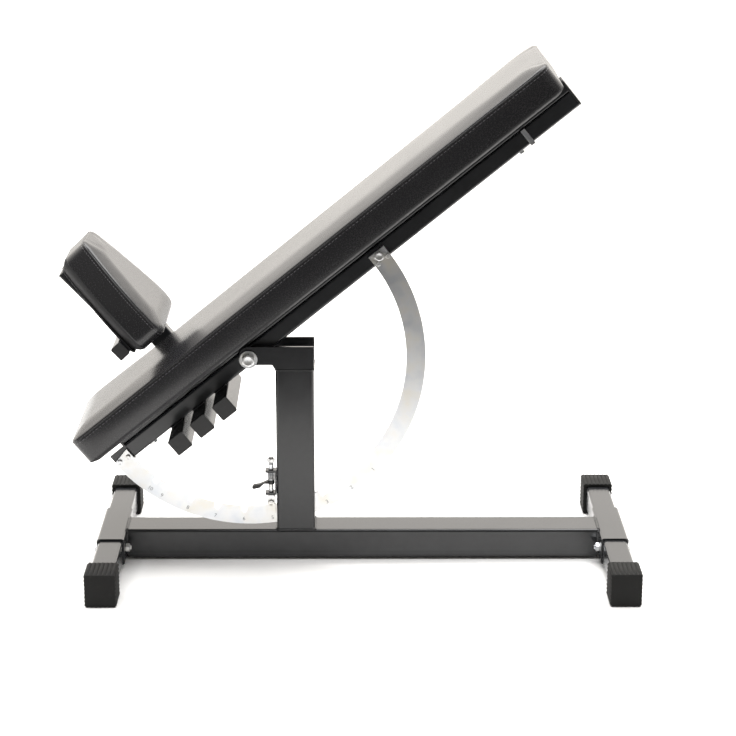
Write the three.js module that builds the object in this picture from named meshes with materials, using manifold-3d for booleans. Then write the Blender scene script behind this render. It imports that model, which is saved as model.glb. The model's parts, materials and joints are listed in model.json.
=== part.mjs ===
// Adjustable weight bench: a steel base, a back that swings on one bolt, a notched half-ring
// selector with a spring catch, and a plug-in seat. Millimetres, +Z up, +X towards the head end.
import * as THREE from 'three';
import { mergeVertices } from 'three/addons/utils/BufferGeometryUtils.js';
import Module from 'manifold-3d';

const wasm = await Module();
wasm.setup();

// ---------- driving dimensions ----------
const GAP = 0.3;                 // between pieces that touch on the real bench
const DEG = Math.PI / 180;

const BEAM_LENGTH = 793;
const BEAM_WIDTH = 63.5;
const BEAM_HEIGHT = 50.8;
const BEAM_TOP = 54;
const BEAM_WALL = 3;

const UPRIGHT_SIZE = 63.5;
const UPRIGHT_WALL = 3;
const UPRIGHT_X = -112.4;        // the upright's centre, from the beam's centre

const SLEEVE_SIZE = 46;
const SLEEVE_LENGTH = 146;
const LEG_WALL = 2.5;
const LEG_CLEARANCE = 0.3;       // each side, sliding in the sleeve
const SLEEVE_WALL = 2.7;
const BASE_SPREAD = 466;         // over the rubber feet
const SLEEVE_BOLT_INSET = 20;    // from the sleeve's near end

const FOOT_WIDTH = 51.4;
const FOOT_DEPTH = 53;
const FOOT_END_WALL = 6;
const FOOT_TOP_WALL = 6;
const FOOT_CORNER = 4;

const PIVOT_HEIGHT = 353.5;
const PIVOT_SETBACK = 75.7;      // pivot axis, on the seat side of the upright's centre
const PIVOT_WASHER_RADIUS = 15;
const BUSH_RADIUS = 9;
const RUNNING_CLEARANCE = 0.3;

const EAR_THICKNESS = 6;
const EAR_ABOVE_PIVOT = 21;
const EAR_BELOW_PIVOT = 10;
const BRACKET_FLOOR = 4.5;
const FLOOR_CLEARANCE = 0.9;     // frame tube above the bracket's floor when flat

const FRAME_WIDTH = 38;
const FRAME_HEIGHT = 28;
const RAIL_HEIGHT = 21.7;        // rail between the frame tube and the pad
const FRAME_WALL = 2.5;
const RAIL_WALL = 2;
const FRAME_BELOW_PIVOT = 13.2;

// Hexagon fasteners: across flats, head height and thread radius.
const M8 = { flats: 13, head: 5.5, radius: 4 };
const M12 = { flats: 19, head: 7.5, radius: 6 };
const ARC_BOLT = { flats: 14, head: 6, radius: 5 };
const ARC_SCREW = { flats: 7, head: 3.5, radius: 2.5 };
const CATCH_PIN = { flats: 10, head: 3.5, radius: 4 };
const LEG_NUT = 6.5;
const PIVOT_NUT = 10;
const CATCH_NUT = 6;
const PIVOT_WASHER = 2.5;
const TIP_PAST_PIVOT_NUT = 6;
const TIP_PAST_LEG_NUT = 2.5;
const TIP_PAST_YOKE = 3;

const PLUG_FLANGE = 2;
const PLUG_STUB = 8;
const CAP_FLANGE = 3;            // end cap's flange on the tube's head end
const CAP_DEPTH = 18;
const CAP_PROUD = 1.5;           // cap past the pad's head end
const STRAP_WIDTH = 8;
const STRAP_THICKNESS = 2;
const STRAP_INSET = 97;          // strap from the pad's head end

const INCLINE_STEP = 9.8;        // degrees between the selector's notches
const STEP_COUNT = 8;
const LAST_STEP = 4.6;           // the steepest notch is closer to its neighbour
const REST_STEP = 4;             // the notch that the bench stands in

const ARC_CLEARANCE = 8.5;       // over the beam
const ARC_BAND = 31.5;
const ARC_THICKNESS = 5;
const ARC_TIP = 7;               // straight ends past the half circle
const ARC_SLOT_CLEARANCE = 2;
const FRAME_OVERLAP = 1.5;       // frame tube's low end, short of the selector's inner edge

const NOTCH_DEPTH = 12;
const NOTCH_MOUTH = 11.4;
const PIN_CLEARANCE = 0.35;
const CATCH_STANDOFF = 9.5;       // catch rod's axis, out from the upright's face
const CATCH_LIFT = 12.5;         // rod's travel from engaged to clear of the teeth
const CATCH_ROD_RADIUS = 4;
const YOKE_PLATE = 3;
const BRACKET_LOW = 14.5;        // its lower lug, above the pin's raised height
const BRACKET_HIGH = 58;
const LUG = 4;
const BRACKET_WIDTH = 16;
const BRACKET_WALL = 2.5;
const BRACKET_PAST_ROD = 9.3;
const YOKE_LENGTH = 13;
const YOKE_HEIGHT = 34;
const YOKE_TOP = 13.5;           // above the pin
const YOKE_BRIDGE = 4;
const YOKE_CLEARANCE = 0.8;      // each side of the selector
const COLLAR_HEIGHT = 6;
const COLLAR_CLEARANCE = 1.5;    // over the lower lug when the catch is down
const HANDLE_WIDTH = 9;
const SPRING_TURNS = 4;
const SPRING_WIRE = 0.8;

const RECEIVER_SIZE = 30;
const RECEIVER_WALL = 2;
const RECEIVER_LENGTH = 170;
const RECEIVER_PITCH = 47.5;
const RECEIVER_FIRST = -71;      // the one nearest the pivot
const PEG_CLEARANCE = 0.5;

const PAD_LENGTH = 976;
const PAD_WIDTH = 228;
const PAD_THICKNESS = 58.5;      // with its board, to the top of the crown
const BOARD_THICKNESS = 12;
const BOARD_INSET = 14;
const PAD_OVERHANG = 7;          // back pad, past the selector at the low end
const PAD_CORNER = 18;
const SHORT_OF_BOARD = 3;        // pad bolts' tips, inside the board
const LOW_BOLT_INSET = 75;       // pad bolts, from the pad's ends
const HIGH_BOLT_INSET = 120;

const SEAT_LENGTH = 191;
const SEAT_WIDTH = 204;          // at the back, next to the pad
const SEAT_NOSE = 92;            // width that the curved sides run down to at the front
const SEAT_THICKNESS = 64;
const SEAT_TILT = 4;             // degrees that its front drops from square to the back
const SEAT_FACE = -56.5;         // the seat's sitting face, from the pivot along the back
const SEAT_CLEARANCE = 30;       // its lower end, above the back pad
const SEAT_PLATE = 3.5;
const SEAT_TUBE_DEPTH = 20;
const SEAT_TUBE_WALL = 2;
const SPINE_WIDTH = 40;
const SPINE_DEPTH = 16;
const SPINE_INSET = 18;          // its end, short of the seat pad's front
const SEAT_PLATE_INSET = 9;
const SEAT_TUBE_HEIGHT = 28;     // cross tube's axis, above the seat pad's lower end
const SEAT_ARM_CLEARANCE = 4;
const PEG_SHORT = 15;            // peg's end, short of the receiver's plugged end

// ---------- sizes that follow ----------
const REST_INCLINE = REST_STEP * INCLINE_STEP;
const uprightFace = UPRIGHT_X - UPRIGHT_SIZE / 2;
const pivotX = UPRIGHT_X - PIVOT_SETBACK;
const bracketFloorTop = PIVOT_HEIGHT - FRAME_BELOW_PIVOT - FLOOR_CLEARANCE;
const uprightTop = bracketFloorTop - BRACKET_FLOOR - GAP;
const arcOuter = PIVOT_HEIGHT - BEAM_TOP - ARC_CLEARANCE;
const arcInner = arcOuter - ARC_BAND;
const arcY = -(FRAME_WIDTH / 2 + GAP + ARC_THICKNESS / 2);
const frameTop = FRAME_HEIGHT - FRAME_BELOW_PIVOT;
const railTop = frameTop + GAP + RAIL_HEIGHT;
const frameLowEnd = -(arcInner - FRAME_OVERLAP);
const padLowEnd = -(arcOuter + PAD_OVERHANG);
const padHighEnd = padLowEnd + PAD_LENGTH;
const padUnderside = railTop + GAP;
const padTop = padUnderside + PAD_THICKNESS;
const legSize = SLEEVE_SIZE - 2 * SLEEVE_WALL - 2 * LEG_CLEARANCE;
const legHeight = BEAM_TOP - SLEEVE_SIZE / 2;
const legTop = legHeight + legSize / 2;
const footHeight = legTop + FOOT_TOP_WALL;
const receiverDrop = -(FRAME_BELOW_PIVOT + GAP + RECEIVER_SIZE / 2);
const pegSize = RECEIVER_SIZE - 2 * RECEIVER_WALL - 2 * PEG_CLEARANCE;

// The catch pin's centre when it is down in a notch, seen from the pivot.
const catchX = uprightFace - CATCH_STANDOFF;
const pinReach = arcInner + NOTCH_DEPTH - CATCH_PIN.radius - PIN_CLEARANCE;
const pinDrop = Math.sqrt(pinReach ** 2 - (catchX - pivotX) ** 2);
const pinAngle = Math.atan2(-pinDrop, catchX - pivotX);
const pinHeight = PIVOT_HEIGHT - pinDrop + CATCH_LIFT;

// ---------- finishes ----------
const finish = (color, roughness, metalness) => () => (
  new THREE.MeshStandardMaterial({ color, roughness, metalness }));
const satinBlackPaint = finish(0x37383a, 0.42, 0.1);
const zincPlate = finish(0xc3c5c7, 0.32, 0.9);
const blackRubber = finish(0x191919, 0.85, 0);
const blackPlastic = finish(0x1e1e1f, 0.55, 0);
const blackVinyl = finish(0x3a3a3c, 0.5, 0);
const birchPly = finish(0xb99a6b, 0.8, 0);
const bronze = finish(0x9c7a45, 0.4, 0.8);

// ---------- geometry helpers ----------
const AXES = {
  x: new THREE.Matrix4().makeBasis(
    new THREE.Vector3(0, 1, 0), new THREE.Vector3(0, 0, 1), new THREE.Vector3(1, 0, 0)),
  y: new THREE.Matrix4().makeBasis(
    new THREE.Vector3(1, 0, 0), new THREE.Vector3(0, 0, 1), new THREE.Vector3(0, -1, 0)),
  z: new THREE.Matrix4(),
};

// A shape extruded along an axis and centred on it. Along x the shape's own x and y
// become Y and Z; along y they become X and Z.
function prism(shape, length, axis, curveSegments = 2) {
  const geometry = new THREE.ExtrudeGeometry(shape, { depth: length, bevelEnabled: false, curveSegments });
  geometry.translate(0, 0, -length / 2);
  return geometry.applyMatrix4(AXES[axis]);
}

function outline(points) {
  return new THREE.Shape(points.map(([x, y]) => new THREE.Vector2(x, y)));
}

function roundedRectangle(path, width, height, radius) {
  const x = width / 2 - radius;
  const y = height / 2 - radius;
  path.absarc(x, y, radius, 0, Math.PI / 2);
  path.absarc(-x, y, radius, Math.PI / 2, Math.PI);
  path.absarc(-x, -y, radius, Math.PI, 1.5 * Math.PI);
  path.absarc(x, -y, radius, 1.5 * Math.PI, 2 * Math.PI);
  path.closePath();
  return path;
}

function squareTube(width, height, wall, length, axis) {
  const shape = roundedRectangle(new THREE.Shape(), width, height, 1.8 * wall);
  shape.holes.push(roundedRectangle(new THREE.Path(), width - 2 * wall, height - 2 * wall, 0.8 * wall));
  return prism(shape, length, axis);
}

function bar(width, height, radius, length, axis) {
  return prism(roundedRectangle(new THREE.Shape(), width, height, radius), length, axis);
}

// A plug for a tube's end. Its flange stands off the origin towards side and its stub goes in.
function makePlug(width, height, wall, axis, side) {
  const along = { y: [0, 1, 0], z: [0, 0, 1] }[axis];
  const inside = 2 * wall + 2 * GAP;
  const flange = bar(width, height, 2.5, PLUG_FLANGE, axis);
  flange.translate(...along.map((a) => (a * side * PLUG_FLANGE) / 2));
  const stub = bar(width - inside, height - inside, 1.5, PLUG_STUB, axis);
  stub.translate(...along.map((a) => a * side * (1 - PLUG_STUB / 2)));
  return join(flange, stub);
}

function box(x, y, z) {
  return new THREE.BoxGeometry(x, y, z);
}

function rod(radius, length, axis, sides = 16) {
  const circle = new THREE.Shape().absarc(0, 0, radius, 0, 2 * Math.PI);
  return prism(circle, length, axis, sides / 2);
}

function ring(outerRadius, innerRadius, length, axis, sides = 24) {
  const circle = new THREE.Shape().absarc(0, 0, outerRadius, 0, 2 * Math.PI);
  circle.holes.push(new THREE.Path().absarc(0, 0, innerRadius, 0, 2 * Math.PI));
  return prism(circle, length, axis, sides / 2);
}

function hexagon(acrossFlats) {
  const radius = acrossFlats / Math.sqrt(3);
  const corners = [0, 60, 120, 180, 240, 300].map((turn) => turn * DEG);
  return outline(corners.map((turn) => [radius * Math.cos(turn), radius * Math.sin(turn)]));
}

function hexNut(size, thickness, axis) {
  const shape = hexagon(size.flats);
  shape.holes.push(new THREE.Path().absarc(0, 0, size.radius + GAP, 0, 2 * Math.PI));
  return prism(shape, thickness, axis, 8);
}

// The head's underside is at the local origin and the shank runs along +axis from there.
function hexBolt(size, length, axis) {
  const along = { x: [1, 0, 0], y: [0, 1, 0], z: [0, 0, 1] }[axis];
  const head = prism(hexagon(size.flats), size.head, axis);
  head.translate(...along.map((a) => (-a * size.head) / 2));
  const shank = rod(size.radius, length + 1, axis);
  shank.translate(...along.map((a) => (a * (length - 1)) / 2));
  return join(head, shank);
}

function toSolid(geometry) {
  const bare = geometry.clone();
  bare.deleteAttribute('normal');
  bare.deleteAttribute('uv');
  const merged = mergeVertices(bare, 1e-4);
  return new wasm.Manifold(new wasm.Mesh({
    numProp: 3,
    vertProperties: new Float32Array(merged.attributes.position.array),
    triVerts: new Uint32Array(merged.index.array),
  }));
}

function toGeometry(solid) {
  const mesh = solid.getMesh();
  const geometry = new THREE.BufferGeometry();
  geometry.setAttribute('position', new THREE.BufferAttribute(new Float32Array(mesh.vertProperties), 3));
  geometry.setIndex(new THREE.BufferAttribute(new Uint32Array(mesh.triVerts), 1));
  geometry.computeVertexNormals();
  return geometry;
}

function join(first, ...others) {
  return toGeometry(others.reduce((solid, other) => solid.add(toSolid(other)), toSolid(first)));
}

function cut(body, ...tools) {
  return toGeometry(tools.reduce((solid, tool) => solid.subtract(toSolid(tool)), toSolid(body)));
}

function add(parent, name, geometry, material, x = 0, y = 0, z = 0) {
  const mesh = new THREE.Mesh(geometry, material);
  mesh.name = name;
  mesh.position.set(x, y, z);
  parent.add(mesh);
  return mesh;
}

// ---------- base ----------
function makeBase() {
  const base = new THREE.Group();
  const beamHeight = BEAM_TOP - BEAM_HEIGHT / 2;
  add(base, 'base_beam', squareTube(BEAM_WIDTH, BEAM_HEIGHT, BEAM_WALL, BEAM_LENGTH, 'x'),
    satinBlackPaint(), 0, 0, beamHeight);
  add(base, 'upright', makeUpright(), satinBlackPaint());
  add(base, 'head_bracket', makeHeadBracket(), satinBlackPaint());
  makeLegs(base, 'seat_end', -1);
  makeLegs(base, 'head_end', 1);
  makePivot(base);
  add(base, 'catch_bracket', makeCatchBracket(), satinBlackPaint(), catchX, arcY, 0);
  return base;
}

// A square post with a slot in each face for the selector to pass through.
function makeUpright() {
  const bottom = BEAM_TOP + GAP;
  const height = uprightTop - bottom;
  const post = squareTube(UPRIGHT_SIZE, UPRIGHT_SIZE, UPRIGHT_WALL, height, 'z');
  post.translate(UPRIGHT_X, 0, bottom + height / 2);
  const slots = [-1, 1].map((side) => {
    const face = UPRIGHT_X + (side * UPRIGHT_SIZE) / 2;
    const nearest = Math.min(Math.abs(face - pivotX), Math.abs(face - side * UPRIGHT_WALL - pivotX));
    const furthest = Math.max(Math.abs(face - pivotX), Math.abs(face - side * UPRIGHT_WALL - pivotX));
    const low = PIVOT_HEIGHT - Math.sqrt(arcOuter ** 2 - nearest ** 2) - ARC_SLOT_CLEARANCE;
    const high = PIVOT_HEIGHT - Math.sqrt(arcInner ** 2 - furthest ** 2) + ARC_SLOT_CLEARANCE;
    const slot = box(6 * UPRIGHT_WALL, ARC_THICKNESS + 2 * ARC_SLOT_CLEARANCE, high - low);
    return slot.translate(face, arcY, (low + high) / 2);
  });
  return cut(post, ...slots);
}

// A channel on top of the upright, with two ears that reach back to the pivot.
function makeHeadBracket() {
  const headFace = UPRIGHT_X + UPRIGHT_SIZE / 2;
  const top = PIVOT_HEIGHT + EAR_ABOVE_PIVOT;
  const earBottom = PIVOT_HEIGHT - EAR_BELOW_PIVOT;
  const floorBottom = bracketFloorTop - BRACKET_FLOOR;
  const endRadius = (top - earBottom) / 2;
  const ear = new THREE.Shape();
  ear.moveTo(headFace, floorBottom);
  ear.lineTo(headFace, top);
  ear.absarc(pivotX, earBottom + endRadius, endRadius, Math.PI / 2, 1.5 * Math.PI);
  ear.lineTo(uprightFace - 5, earBottom);
  ear.lineTo(uprightFace, floorBottom);
  ear.closePath();
  const pivotBore = M12.radius + RUNNING_CLEARANCE;
  ear.holes.push(new THREE.Path().absarc(pivotX, PIVOT_HEIGHT, pivotBore, 0, 2 * Math.PI));
  const offset = (UPRIGHT_SIZE - EAR_THICKNESS) / 2;
  const nearEar = prism(ear, EAR_THICKNESS, 'y', 8).translate(0, -offset, 0);
  const farEar = prism(ear, EAR_THICKNESS, 'y', 8).translate(0, offset, 0);
  const floor = box(UPRIGHT_SIZE, UPRIGHT_SIZE - EAR_THICKNESS, BRACKET_FLOOR);
  floor.translate(UPRIGHT_X, 0, floorBottom + BRACKET_FLOOR / 2);
  return join(nearEar, farEar, floor);
}

// One end of the base: a sleeve on the beam's end, and the leg tube that passes through it.
function makeLegs(base, end, side) {
  const x = side * (BEAM_LENGTH / 2 + GAP + SLEEVE_SIZE / 2);
  const boltY = -(SLEEVE_LENGTH / 2 - SLEEVE_BOLT_INSET);
  const boltHole = rod(M8.radius + RUNNING_CLEARANCE, 2 * SLEEVE_SIZE, 'x').translate(0, boltY, 0);
  const sleeve = squareTube(SLEEVE_SIZE, SLEEVE_SIZE, SLEEVE_WALL, SLEEVE_LENGTH, 'y');
  const legLength = BASE_SPREAD - 2 * (FOOT_END_WALL + GAP);
  const leg = squareTube(legSize, legSize, LEG_WALL, legLength, 'y');
  add(base, `${end}_sleeve`, cut(sleeve, boltHole), satinBlackPaint(), x, 0, legHeight);
  add(base, `${end}_leg`, cut(leg, boltHole), satinBlackPaint(), x, 0, legHeight);

  const outside = x + side * (SLEEVE_SIZE / 2 + GAP);
  const inside = x - side * (SLEEVE_SIZE / 2 + GAP);
  const bolt = hexBolt(M8, SLEEVE_SIZE + 2 * GAP + LEG_NUT + TIP_PAST_LEG_NUT, 'x');
  const boltMesh = add(base, `${end}_bolt`, bolt, zincPlate(), outside, boltY, legHeight);
  boltMesh.rotation.z = side > 0 ? Math.PI : 0;
  const nut = hexNut(M8, LEG_NUT, 'x');
  add(base, `${end}_nut`, nut, zincPlate(), inside - (side * LEG_NUT) / 2, boltY, legHeight);

  const footFront = BASE_SPREAD / 2 - FOOT_DEPTH / 2;
  add(base, `${end}_foot_near`, makeFoot(1), blackRubber(), x, -footFront, footHeight / 2);
  add(base, `${end}_foot_far`, makeFoot(-1), blackRubber(), x, footFront, footHeight / 2);
}

// A rubber shoe over a leg's end. Its pocket opens towards +Y for side 1 and -Y for side -1.
function makeFoot(side) {
  const shoe = bar(FOOT_WIDTH, footHeight, FOOT_CORNER, FOOT_DEPTH, 'y');
  const room = legSize + 2 * GAP;
  const pocket = box(room, FOOT_DEPTH, room);
  pocket.translate(0, side * FOOT_END_WALL, legHeight - footHeight / 2);
  return cut(shoe, pocket);
}

// The pivot bolt with its washers and nut, through both ears.
function makePivot(base) {
  const earFace = UPRIGHT_SIZE / 2;
  const washerFace = earFace + PIVOT_WASHER + 2 * GAP;
  const bolt = hexBolt(M12, 2 * washerFace + PIVOT_NUT + TIP_PAST_PIVOT_NUT, 'y');
  add(base, 'pivot_bolt', bolt, zincPlate(), pivotX, -washerFace, PIVOT_HEIGHT);
  [-1, 1].forEach((side) => {
    const name = side < 0 ? 'pivot_washer_near' : 'pivot_washer_far';
    add(base, name, ring(PIVOT_WASHER_RADIUS, M12.radius + GAP, PIVOT_WASHER, 'y'), zincPlate(),
      pivotX, side * (earFace + GAP + PIVOT_WASHER / 2), PIVOT_HEIGHT);
  });
  add(base, 'pivot_nut', hexNut(M12, PIVOT_NUT, 'y'), zincPlate(),
    pivotX, washerFace + PIVOT_NUT / 2, PIVOT_HEIGHT);
}

// ---------- catch ----------
// A C-shaped guide on the upright's face. Its two lugs hold the rod.
function makeCatchBracket() {
  const reach = uprightFace - GAP - catchX;
  const depth = reach + BRACKET_PAST_ROD;
  const height = BRACKET_HIGH - BRACKET_LOW;
  const middle = pinHeight + (BRACKET_LOW + BRACKET_HIGH) / 2;
  const block = box(depth, BRACKET_WIDTH, height).translate(reach - depth / 2, 0, middle);
  const room = box(depth, 2 * BRACKET_WIDTH, height - 2 * LUG);
  room.translate(reach - depth / 2 - BRACKET_WALL, 0, middle);
  const hole = rod(CATCH_ROD_RADIUS + RUNNING_CLEARANCE, 2 * height, 'z').translate(0, 0, middle);
  return cut(block, room, hole);
}

function makeCatch() {
  const group = new THREE.Group();
  group.position.set(catchX, arcY, pinHeight);
  const slot = ARC_THICKNESS + 2 * YOKE_CLEARANCE;
  const yokeWidth = slot + 2 * YOKE_PLATE;
  const yoke = cut(
    bar(YOKE_LENGTH, YOKE_HEIGHT, 3, yokeWidth, 'y').translate(0, 0, YOKE_TOP - YOKE_HEIGHT / 2),
    box(2 * YOKE_LENGTH, slot, YOKE_HEIGHT).translate(0, 0, YOKE_TOP - YOKE_BRIDGE - YOKE_HEIGHT / 2),
    rod(CATCH_PIN.radius + GAP, 2 * yokeWidth, 'y'));
  add(group, 'catch_yoke', yoke, zincPlate());
  add(group, 'catch_pin', hexBolt(CATCH_PIN, yokeWidth + TIP_PAST_YOKE, 'y'), zincPlate(),
    0, -(yokeWidth / 2 + GAP), 0);

  const rodLow = YOKE_TOP + GAP;
  const nutHeight = BRACKET_HIGH + CATCH_LIFT + 0.5 + CATCH_NUT / 2;
  const rodHigh = nutHeight + CATCH_NUT;
  add(group, 'catch_rod', rod(CATCH_ROD_RADIUS, rodHigh - rodLow, 'z'), zincPlate(),
    0, 0, (rodLow + rodHigh) / 2);
  add(group, 'catch_nut', hexNut(M8, CATCH_NUT, 'z'), zincPlate(), 0, 0, nutHeight);

  const handleHeight = BRACKET_LOW + LUG + CATCH_LIFT + COLLAR_HEIGHT / 2 + COLLAR_CLEARANCE;
  const springLow = handleHeight + COLLAR_HEIGHT / 2 + GAP;
  const springRoom = BRACKET_HIGH - LUG - GAP - springLow;
  add(group, 'catch_handle', makeCatchHandle(), blackPlastic(), 0, 0, handleHeight);
  add(group, 'catch_spring', makeSpring(springRoom), zincPlate(), 0, 0, springLow);
  return group;
}

// A collar on the rod with a lever that reaches back and down to a fingertip pad.
function makeCatchHandle() {
  const collar = ring(6, CATCH_ROD_RADIUS + GAP, COLLAR_HEIGHT, 'z');
  const lever = outline([
    [-5, 2.5], [-20, -4], [-29, -5], [-32, -9], [-29.5, -12], [-19, -9.5], [-11.5, -2.5], [-5, -2.5],
  ]);
  return join(collar, prism(lever, HANDLE_WIDTH, 'y'));
}

function makeSpring(height) {
  const turns = SPRING_TURNS;
  const wire = SPRING_WIRE;
  const radius = CATCH_ROD_RADIUS + 2 * SPRING_WIRE;
  class Coil extends THREE.Curve {
    getPoint(t, target = new THREE.Vector3()) {
      const angle = 2 * Math.PI * turns * t;
      const z = wire + (height - 2 * wire) * t;
      return target.set(radius * Math.cos(angle), radius * Math.sin(angle), z);
    }
  }
  const section = new THREE.Shape().absarc(0, 0, wire, 0, 2 * Math.PI);
  return new THREE.ExtrudeGeometry(section, {
    extrudePath: new Coil(), steps: 12 * turns, curveSegments: 3, bevelEnabled: false,
  });
}

// ---------- back ----------
// The back's own frame: X along the back from the pivot towards the head, Z off its face.
function makeBack() {
  const back = new THREE.Group();
  makeFrame(back);
  makeSelector(back);
  makeReceivers(back);
  makeBackPad(back);
  return back;
}

function makeFrame(back) {
  const length = padHighEnd + CAP_PROUD - CAP_FLANGE - GAP - frameLowEnd;
  const middle = frameLowEnd + length / 2;
  const height = frameTop - FRAME_HEIGHT / 2;
  const tube = squareTube(FRAME_WIDTH, FRAME_HEIGHT, FRAME_WALL, length, 'x').translate(middle, 0, height);
  const bushHole = rod(BUSH_RADIUS + GAP, 2 * FRAME_WIDTH, 'y', 24);
  const boltHoles = () => padBoltPlaces().map((x) => (
    rod(M8.radius + GAP, 4 * FRAME_HEIGHT, 'z').translate(x, 0, height)));
  add(back, 'back_frame_tube', cut(tube, bushHole, ...boltHoles()), satinBlackPaint());
  const rail = squareTube(FRAME_WIDTH, RAIL_HEIGHT, RAIL_WALL, length, 'x');
  rail.translate(middle, 0, railTop - RAIL_HEIGHT / 2);
  add(back, 'pad_rail', cut(rail, ...boltHoles()), satinBlackPaint());

  add(back, 'pivot_bush', ring(BUSH_RADIUS, M12.radius + RUNNING_CLEARANCE, FRAME_WIDTH, 'y'), bronze());
  const room = (UPRIGHT_SIZE - 2 * EAR_THICKNESS - FRAME_WIDTH) / 2;
  [-1, 1].forEach((side) => {
    const name = side < 0 ? 'thrust_washer_near' : 'thrust_washer_far';
    const washer = ring(BUSH_RADIUS + 2.5, M12.radius + RUNNING_CLEARANCE, room - 2 * GAP, 'y');
    add(back, name, washer, blackPlastic(), 0, side * (FRAME_WIDTH + room) / 2, 0);
  });

  const insideWidth = FRAME_WIDTH - 2 * FRAME_WALL - 2 * GAP;
  const insideHeight = FRAME_HEIGHT - 2 * FRAME_WALL - 2 * GAP;
  const capHeight = railTop + FRAME_BELOW_PIVOT;
  const flange = bar(FRAME_WIDTH, capHeight, 4, CAP_FLANGE, 'x');
  flange.translate(CAP_FLANGE / 2, 0, capHeight / 2 - FRAME_BELOW_PIVOT);
  const stub = bar(insideWidth, insideHeight, 2, CAP_DEPTH, 'x').translate(1 - CAP_DEPTH / 2, 0, height);
  const cap = join(flange, stub);
  add(back, 'frame_end_cap', cap, blackPlastic(), frameLowEnd + length + GAP, 0, 0);

  add(back, 'frame_strap', makeStrap(), zincPlate(), padHighEnd - STRAP_INSET, 0, 0);
}

// A plated strap that wraps the tube's sides and underside.
function makeStrap() {
  const inner = FRAME_WIDTH / 2 + GAP;
  const outer = inner + STRAP_THICKNESS;
  const low = -FRAME_BELOW_PIVOT - GAP;
  const high = frameTop - 1;
  const strap = outline([
    [-outer, high], [-outer, low - STRAP_THICKNESS], [outer, low - STRAP_THICKNESS], [outer, high],
    [inner, high], [inner, low], [-inner, low], [-inner, high],
  ]);
  return prism(strap, STRAP_WIDTH, 'x');
}

// The selector: half a ring about the pivot, notched on its inner edge.
function makeSelector(back) {
  const band = new THREE.Shape();
  band.moveTo(-arcOuter, ARC_TIP);
  band.absarc(0, 0, arcOuter, Math.PI, 2 * Math.PI);
  band.lineTo(arcOuter, ARC_TIP);
  band.lineTo(arcInner, ARC_TIP);
  band.absarc(0, 0, arcInner, 2 * Math.PI, Math.PI, true);
  band.lineTo(-arcInner, ARC_TIP);
  band.closePath();
  const plate = prism(band, ARC_THICKNESS, 'y', 40).translate(0, arcY, 0);
  const inclines = Array.from({ length: STEP_COUNT + 1 }, (_, step) => step * INCLINE_STEP);
  inclines.push(STEP_COUNT * INCLINE_STEP + LAST_STEP);
  const notches = inclines.map((incline) => makeNotch(pinAngle - incline * DEG));
  const upperBolt = [arcInner + 0.5 * ARC_BAND, -1];
  const upperScrews = [[arcInner + 0.84 * ARC_BAND, -10], [arcInner + 0.2 * ARC_BAND, -10.5]];
  const lowerScrews = [[-arcInner - 0.2 * ARC_BAND, -5], [-arcInner - 0.72 * ARC_BAND, -3]];
  const screwHoles = [...upperScrews, ...lowerScrews].map(([x, z]) => (
    rod(ARC_SCREW.radius + GAP, ARC_BAND, 'y').translate(x, arcY, z)));
  const boltHole = rod(ARC_BOLT.radius + GAP, ARC_BAND, 'y').translate(upperBolt[0], arcY, upperBolt[1]);
  add(back, 'selector_arc', cut(plate, ...notches, ...screwHoles, boltHole), zincPlate());

  const front = arcY - ARC_THICKNESS / 2 - GAP;
  const hold = ARC_THICKNESS + GAP;
  add(back, 'arc_bolt', hexBolt(ARC_BOLT, hold, 'y'), zincPlate(), upperBolt[0], front, upperBolt[1]);
  [...upperScrews, ...lowerScrews].forEach(([x, z], i) => {
    const name = i < 2 ? `arc_screw_upper_${i + 1}` : `arc_screw_lower_${i - 1}`;
    add(back, name, hexBolt(ARC_SCREW, hold, 'y'), zincPlate(), x, front, z);
  });
  add(back, 'arc_end_bracket', makeArcEndBracket(), satinBlackPaint());
}

// A notch as a cutting tool: round at the bottom for the pin and flared at the mouth.
function makeNotch(angle) {
  const bottom = CATCH_PIN.radius + PIN_CLEARANCE;
  const shape = new THREE.Shape();
  shape.moveTo(arcInner - 8, NOTCH_MOUTH / 2);
  shape.lineTo(arcInner - 8, -NOTCH_MOUTH / 2);
  shape.lineTo(arcInner, -NOTCH_MOUTH / 2);
  shape.absarc(pinReach, 0, bottom, -Math.PI / 2, Math.PI / 2);
  shape.lineTo(arcInner, NOTCH_MOUTH / 2);
  shape.closePath();
  return prism(shape, 3 * ARC_THICKNESS, 'y', 5).rotateY(-angle).translate(0, arcY, 0);
}

// It closes the frame tube's low end and carries the selector's low end on a side plate.
function makeArcEndBracket() {
  const plate = 4;
  const web = 6;
  const end = frameLowEnd - GAP;
  const lower = -FRAME_BELOW_PIVOT - 2;
  const plateHeight = railTop + FRAME_BELOW_PIVOT;
  const endPlate = box(plate, FRAME_WIDTH, plateHeight);
  endPlate.translate(end - plate / 2, 0, railTop - plateHeight / 2);
  const reach = end + arcOuter;
  const side = box(reach, web, ARC_TIP + 6 - lower);
  side.translate(end - reach / 2, -FRAME_WIDTH / 2 + web / 2, (ARC_TIP + 6 + lower) / 2);
  return join(endPlate, side);
}

function receiverPlaces() {
  return [0, 1, 2].map((i) => RECEIVER_FIRST - i * RECEIVER_PITCH);
}

// Three square sockets across the underside, plugged on the near side.
function makeReceivers(back) {
  receiverPlaces().forEach((x, i) => {
    const tube = squareTube(RECEIVER_SIZE, RECEIVER_SIZE, RECEIVER_WALL, RECEIVER_LENGTH, 'y');
    add(back, `receiver_${i + 1}`, tube, satinBlackPaint(), x, 0, receiverDrop);
    const plug = makePlug(RECEIVER_SIZE, RECEIVER_SIZE, RECEIVER_WALL, 'y', -1);
    add(back, `receiver_plug_${i + 1}`, plug, blackPlastic(), x, -(RECEIVER_LENGTH / 2 + GAP), receiverDrop);
  });
}

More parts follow.
